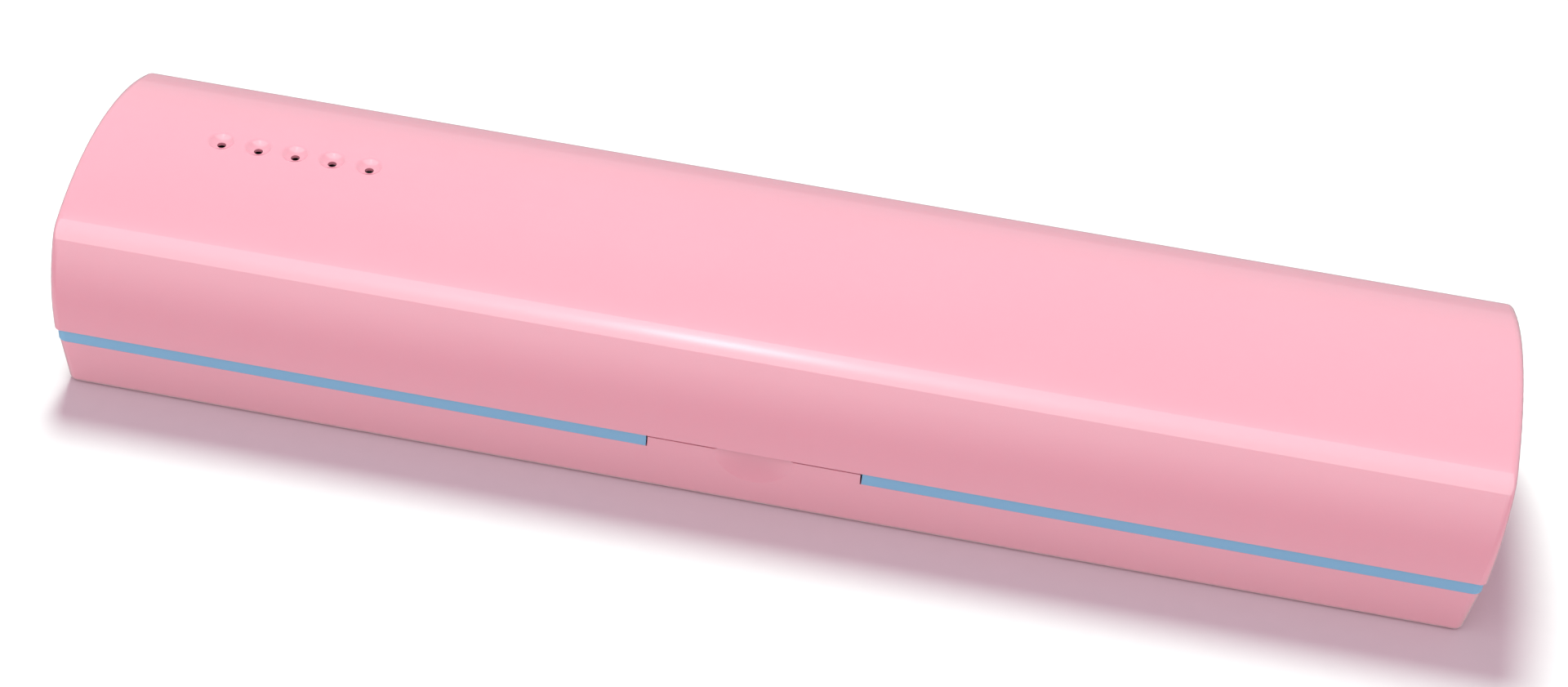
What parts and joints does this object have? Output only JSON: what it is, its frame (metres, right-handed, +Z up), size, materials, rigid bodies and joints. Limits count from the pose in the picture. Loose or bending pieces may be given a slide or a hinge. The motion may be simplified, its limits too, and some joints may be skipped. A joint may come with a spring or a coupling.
{
  "type": "toothbrush sanitizer case",
  "caption": "Long domed travel case with a hinged lid that holds a toothbrush under a small UV-C lamp.",
  "frame": {"origin": "centre of the flat underside, midway along the case", "axes": "+X along the case, away from the end with the vents; -Y towards the thumb scoop at the front, +Y towards the hinge; +Z up"},
  "size_m": [0.22, 0.0569, 0.031],
  "materials": {
    "shell_pink": "gloss moulded",
    "tray_blue": "satin moulded",
    "plunger_white": "moulded",
    "steel_pin": "drawn",
    "spring_steel": "plated",
    "screw_steel": "zinc plated",
    "cell_case": "printed sleeve",
    "lamp_glass": "clear",
    "window_clear": "clear moulded",
    "lamp_metal": "drawn",
    "holder_white": "moulded",
    "reflector_bright": "polished",
    "board_green": "solder mask",
    "ferrite": "sintered",
    "winding_tape": "taped",
    "capacitor_sleeve": "shrink sleeve",
    "chip_black": "moulded",
    "lead_red": "insulation",
    "lead_white": "insulation"
  },
  "bodies": {
    "base": {"base_shell": "shell_pink", "inner_tray": "tray_blue", "hinge_pins": "steel_pin", "battery_cells": "cell_case", "battery_terminals": "spring_steel", "bridge_contact": "spring_steel", "contact_springs": "spring_steel", "lamp_tube": "lamp_glass", "lamp_caps": "lamp_metal", "lamp_electrodes": "lamp_metal", "lamp_holders": "holder_white", "reflector": "reflector_bright", "lamp_window": "window_clear", "circuit_board": "board_green", "transformer_core": "ferrite", "transformer_coil": "winding_tape", "capacitors": "capacitor_sleeve", "driver_chip": "chip_black", "board_resistors": "chip_black", "switch_body": "chip_black", "plunger_spring": "spring_steel", "case_screws": "screw_steel", "board_screws": "screw_steel", "lamp_leads": "lead_white", "battery_leads": "lead_red"},
    "lid": {"lid_shell": "shell_pink"},
    "plunger": {"switch_plunger": "plunger_white"},
    "door": {"battery_door": "shell_pink"}
  },
  "joints": [
    {"name": "lid_hinge", "type": "hinge", "parent": "base", "child": "lid", "pos_m": [0, 0.0276, 0.01045], "axis": [-1, 0, 0], "range_deg": [0, 105]},
    {"name": "switch_slide", "type": "slide", "parent": "base", "child": "plunger", "axis": [0, 0, 1], "range_m": [0, 0.0012], "stiffness_N_per_m": 60, "springref_m": 0.0016, "deforming": ["plunger_spring"]},
    {"name": "door_slide", "type": "slide", "parent": "base", "child": "door", "axis": [1, 0, 0], "range_m": [0, 0.057]}
  ],
  "couplings": [
    {"joint": "switch_slide", "follows": "lid_hinge", "m_per_rad": 0.00065}
  ]
}
